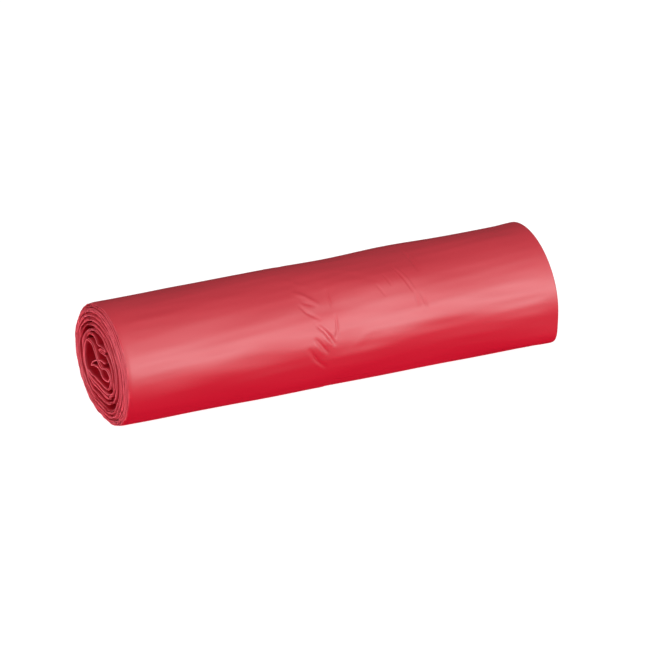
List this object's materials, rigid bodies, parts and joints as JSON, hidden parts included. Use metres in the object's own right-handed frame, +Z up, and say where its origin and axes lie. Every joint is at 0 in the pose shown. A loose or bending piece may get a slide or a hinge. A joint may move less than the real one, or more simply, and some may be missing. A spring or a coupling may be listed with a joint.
{
  "type": "roll of bin bags",
  "caption": "Coreless roll of red plastic bin bags lying on its side, slumped to a slightly flat oval, with its wound turns showing on both ends.",
  "frame": {"origin": "on the level surface that the roll lies on, under the middle of its box", "axes": "+X along the roll's axis, from the end whose middle has slid out to the other one; +Y to the side where the strip's loose outer end lies; +Z up"},
  "size_m": [0.351, 0.1076, 0.0876],
  "materials": {
    "red_film": "satin polyethylene film"
  },
  "bodies": {
    "root": {"bag_roll": "red_film"}
  },
  "joints": []
}
